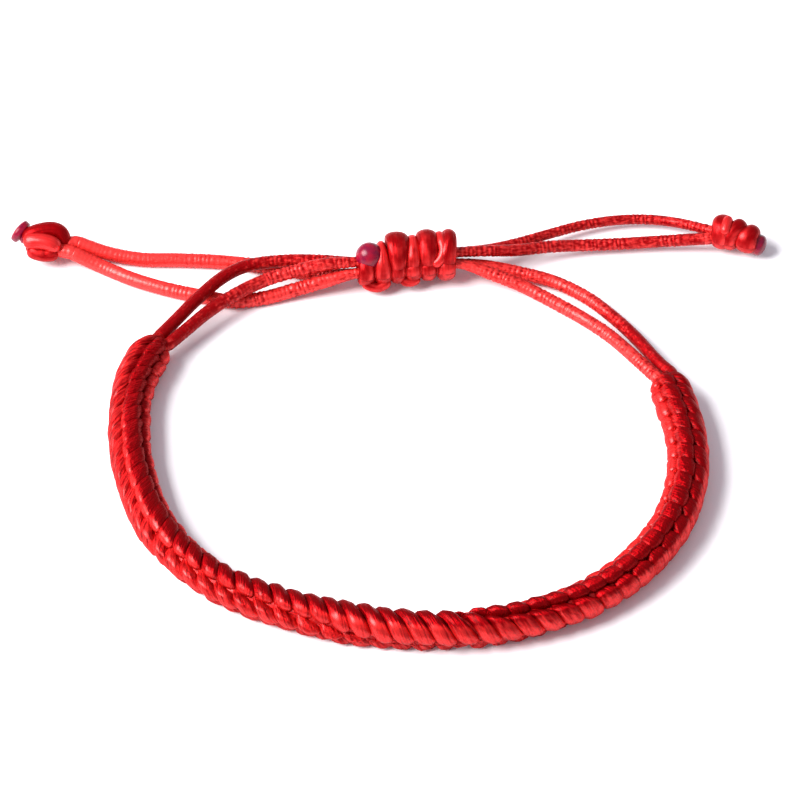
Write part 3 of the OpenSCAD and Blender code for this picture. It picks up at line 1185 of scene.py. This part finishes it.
# Melted cord: its two colours, where its spots pass from one to the other, their size, how rough
# they are at least and how much more at most, its shine, and the height and strength of its bumps.
MELTED_DARK = (0.15, 0.0, 0.02, 1)
MELTED_LIGHT = (0.26, 0.0, 0.015, 1)
MELTED_FROM = 0.35
MELTED_TO = 0.7
MELTED_SPOT = 0.8 * MM
MELTED_ROUGH = 0.22
MELTED_ROUGHER = 0.1
MELTED_SHINE = 0.3
MELTED_RELIEF = 0.06 * MM
MELTED_BUMP = 0.4


def melted_material():
    """Nylon that was melted to a smooth, dark, glossy lump."""
    material = bpy.data.materials.new("melted_cord")
    material.use_nodes = True
    graph = Graph(material.node_tree)
    shader = material.node_tree.nodes["Principled BSDF"]
    place = Value(graph, graph.node("ShaderNodeTexCoord").outputs["Object"])
    spots = graph.noise(place, (1 / MELTED_SPOT,) * 3, detail=2.0)
    colour = graph.mix(spots.ramp(MELTED_FROM, MELTED_TO), MELTED_DARK, MELTED_LIGHT)
    graph.feed(shader.inputs["Base Color"], colour)
    graph.feed(shader.inputs["Roughness"], spots * MELTED_ROUGHER + MELTED_ROUGH)
    shader.inputs["Specular IOR Level"].default_value = MELTED_SHINE
    bump = graph.add(
        "ShaderNodeBump", {}, Strength=MELTED_BUMP, Distance=MELTED_RELIEF, Height=spots
    )
    graph.feed(shader.inputs["Normal"], bump)
    return material


# The stage: the floor's half width in metres, and the room's light, with more where it is seen.
FLOOR_HALF = 4.0
FLOOR_PAINT = (0.93, 0.925, 0.94, 1)
FLOOR_ROUGHNESS = 0.9
ROOM_COLOUR = (0.92, 0.9, 1, 1)
ROOM_LIGHT = 0.55
ROOM_SEEN_MORE = 0.4

# The softbox: its place and its size in metres, and its power in watts.
KEY_PLACE = (-0.9, -0.2, 0.88)
KEY_SIZE = (0.9, 0.85)
KEY_POWER = 43


def floor():
    """A pale matt floor."""
    mesh = bpy.data.meshes.new("floor")
    signs = [(-1, -1), (1, -1), (1, 1), (-1, 1)]
    mesh.from_pydata([(x * FLOOR_HALF, y * FLOOR_HALF, 0) for x, y in signs], [], [(0, 1, 2, 3)])
    made = bpy.data.objects.new("floor", mesh)
    scene.collection.objects.link(made)
    paint = bpy.data.materials.new("floor_paint")
    paint.use_nodes = True
    shader = paint.node_tree.nodes["Principled BSDF"]
    shader.inputs["Base Color"].default_value = FLOOR_PAINT
    shader.inputs["Roughness"].default_value = FLOOR_ROUGHNESS
    shader.inputs["Specular IOR Level"].default_value = 0.0
    mesh.materials.append(paint)


def room():
    """An evenly lit pale room, a little brighter where the camera sees it past the floor."""
    world = bpy.data.worlds.new("room")
    scene.world = world
    world.use_nodes = True
    graph = Graph(world.node_tree)
    background = world.node_tree.nodes["Background"]
    background.inputs["Color"].default_value = ROOM_COLOUR
    seen = graph.add("ShaderNodeLightPath")
    graph.feed(background.inputs["Strength"], seen * ROOM_SEEN_MORE + ROOM_LIGHT)


def key_light():
    """One large softbox, high on the left, that points at the bracelet."""
    lamp = bpy.data.lights.new("key_softbox", "AREA")
    lamp.shape = "RECTANGLE"
    lamp.size, lamp.size_y = KEY_SIZE
    lamp.energy = KEY_POWER
    holder = bpy.data.objects.new("key_softbox", lamp)
    holder.location = KEY_PLACE
    holder.rotation_euler = (-Vector(KEY_PLACE)).to_track_quat("-Z", "Y").to_euler()
    holder.visible_camera = False
    scene.collection.objects.link(holder)


# A long lens from the front, this many degrees above the horizon. Other lengths are in metres, and
# those of the lens and its sensor in millimetres.
CAMERA_ELEVATION = 47
CAMERA_DISTANCE = 0.6
CAMERA_AIM = (-0.78 * MM, 14.24 * MM, 0)
CAMERA_NEAR = 0.01
CAMERA_FAR = 20
FOCAL_LENGTH = 258.7
SENSOR_WIDTH = 36


def camera():
    """The photograph's view."""
    elevation = math.radians(CAMERA_ELEVATION)
    back = Vector((0, -math.cos(elevation), math.sin(elevation)))
    lens = bpy.data.cameras.new("camera")
    lens.sensor_width = SENSOR_WIDTH
    lens.lens = FOCAL_LENGTH
    lens.clip_start = CAMERA_NEAR
    lens.clip_end = CAMERA_FAR
    holder = bpy.data.objects.new("camera", lens)
    holder.location = Vector(CAMERA_AIM) + back * CAMERA_DISTANCE
    holder.rotation_euler = (-back).to_track_quat("-Z", "Y").to_euler()
    scene.collection.objects.link(holder)
    scene.camera = holder


def dress(made, node):
    """Lets a piece ride on the bracelet in the place of a node, and hides that node's own part."""
    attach(made, "root")
    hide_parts(node)


camera()
floor()
room()
key_light()
scene.view_settings.view_transform = "Standard"

floss = satin(
    "satin_floss",
    shade=(0.24, 0.0003, 0.002, 1),
    light=(0.64, 0.012, 0.011, 1),
    metal=0.62,
    gloss=0.34,
    fine=(0.6, 7, 7),
    bundles=(0.7, 3.2, 3.2),
    crinkle=(2.6, 2.8, 2.8),
    relief=0.26,
    spread=0.95,
)
smooth = satin(
    "smooth_floss",
    shade=(0.27, 0.0004, 0.002, 1),
    light=(0.68, 0.014, 0.014, 1),
    metal=0.5,
    gloss=0.3,
    fine=(0.6, 6, 6),
    bundles=(0.6, 2, 2),
    crinkle=(1.4, 1.6, 1.6),
    relief=0.16,
)
braid = satin(
    "braided_cord",
    shade=(0.26, 0.0004, 0.002, 1),
    light=(0.8, 0.034, 0.03, 1),
    metal=0.4,
    gloss=0.34,
    fine=(1.5, 8, 8),
    bundles=(1.5, 4, 4),
    crinkle=(3, 2, 2),
    relief=0.16,
)
melted = melted_material()

cords = {name: cord_with_painted_light(name) for name in ROUTES}
for name, cord in cords.items():
    dress(cord, name)

weave = lobe_pattern()
host, band_length = band_host()
for column in range(COLUMNS):
    lobes = weave.run(
        f"weave_column_{column + 1}",
        host.copy(),
        floss,
        column=column,
        seed=column * SEED_APART,
        pitch=band_length / KNOTS,
    )
    dress(lobes, "woven_band")
dress(band_core(), "woven_band")

wraps = sliding_knot()
bead = melted_bead()
left_wraps = left_stopper_knot()
right_wraps = right_stopper_knot()
left_end = melted_end("left_melted_end", left_stopper, LEFT_MELTED)
right_end = melted_end("right_melted_end", right_stopper, RIGHT_MELTED)
band_middle = band_line()[0] / MM + (0, 0, BAND_R / MM)
# The tones of the leads paint light and shade to match their cords.
left_band_leads = leads(
    "left_band_leads",
    band_middle[LEAD_DEPTH],
    [(LEFT_OUTER[1], LEFT_OUTER[0], 0.1), (LEFT_INNER[1], LEFT_INNER[0], 0.2)],
)
right_band_leads = leads(
    "right_band_leads",
    band_middle[-LEAD_DEPTH],
    [(RIGHT_OUTER[-2], RIGHT_OUTER[-1], 0), (RIGHT_INNER[-2], RIGHT_INNER[-1], 0.6)],
)
left_leads = leads(
    "left_stopper_leads",
    left_stopper.origin,
    [
        (RIGHT_OUTER_TAIL[1], RIGHT_OUTER_TAIL[0], 0.9),
        (RIGHT_INNER_TAIL[1], RIGHT_INNER_TAIL[0], 1),
    ],
)
right_leads = leads(
    "right_stopper_leads",
    right_stopper.origin,
    [
        (LEFT_OUTER_TAIL[-2], LEFT_OUTER_TAIL[-1], 0.5),
        (LEFT_INNER_TAIL[-2], LEFT_INNER_TAIL[-1], 0.5),
    ],
)
for made, node in (
    (left_band_leads, "woven_band"),
    (right_band_leads, "woven_band"),
    (left_leads, "left_stopper_knot"),
    (right_leads, "right_stopper_knot"),
    (wraps, "sliding_knot"),
    (bead, "sliding_knot"),
    (left_wraps, "left_stopper_knot"),
    (left_end, "left_stopper_knot"),
    (right_wraps, "right_stopper_knot"),
    (right_end, "right_stopper_knot"),
):
    dress(made, node)

# The knots and melted ends that a cord carries.
on_cords = {
    "left_outer_cord": [right_wraps, right_end, right_leads],
    "right_outer_cord": [left_wraps, left_end, left_leads],
    "left_inner_cord": [wraps, bead],
}
for name, rows in ROUTES.items():
    line, along = spline(rows, PATH_STEP)
    tuple(c * MM for c in rows[0][:3])
    rows[0][3] * MM
    [tuple(place * MM) for place in line[:, :3]]
    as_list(on_cords.get(name, []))
